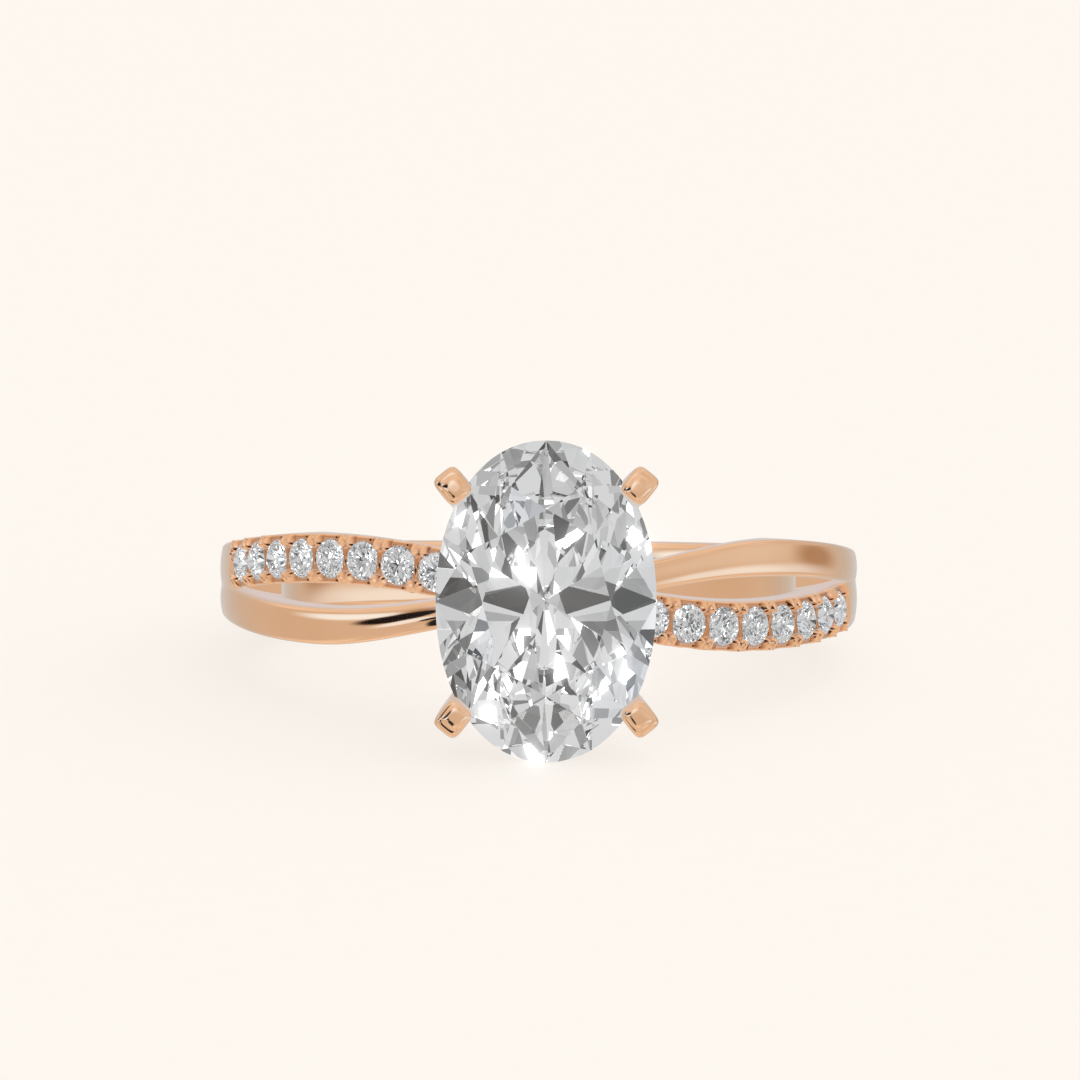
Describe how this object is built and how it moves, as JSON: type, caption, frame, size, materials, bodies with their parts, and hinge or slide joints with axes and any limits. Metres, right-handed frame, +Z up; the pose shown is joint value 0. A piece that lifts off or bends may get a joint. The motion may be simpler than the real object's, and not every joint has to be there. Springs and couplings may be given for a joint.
{
  "type": "split shank ring",
  "caption": "Split shank finger ring: a plain strand crosses a stone-set strand under an oval centre stone in four claws; lies on its side.",
  "frame": {"origin": "middle of the object's box, on the surface that the ring lies on", "axes": "+Z up from the surface; the centre stone faces -Y, tilted a little upwards; +X to the right, seen facing the stone"},
  "size_m": [0.0214, 0.0263, 0.0101],
  "materials": {
    "metal": "polished rose gold",
    "centre_stone": "clear faceted brilliant",
    "small_stones": "clear faceted brilliant"
  },
  "bodies": {
    "root": {"shank_and_setting": "metal", "centre_stone": "centre_stone", "pave_stone_left_1": "small_stones", "pave_stone_left_2": "small_stones", "pave_stone_left_3": "small_stones", "pave_stone_left_4": "small_stones", "pave_stone_left_5": "small_stones", "pave_stone_left_6": "small_stones", "pave_stone_left_7": "small_stones", "pave_stone_left_8": "small_stones", "pave_stone_right_1": "small_stones", "pave_stone_right_2": "small_stones", "pave_stone_right_3": "small_stones", "pave_stone_right_4": "small_stones", "pave_stone_right_5": "small_stones", "pave_stone_right_6": "small_stones", "pave_stone_right_7": "small_stones", "pave_stone_right_8": "small_stones"}
  },
  "joints": []
}
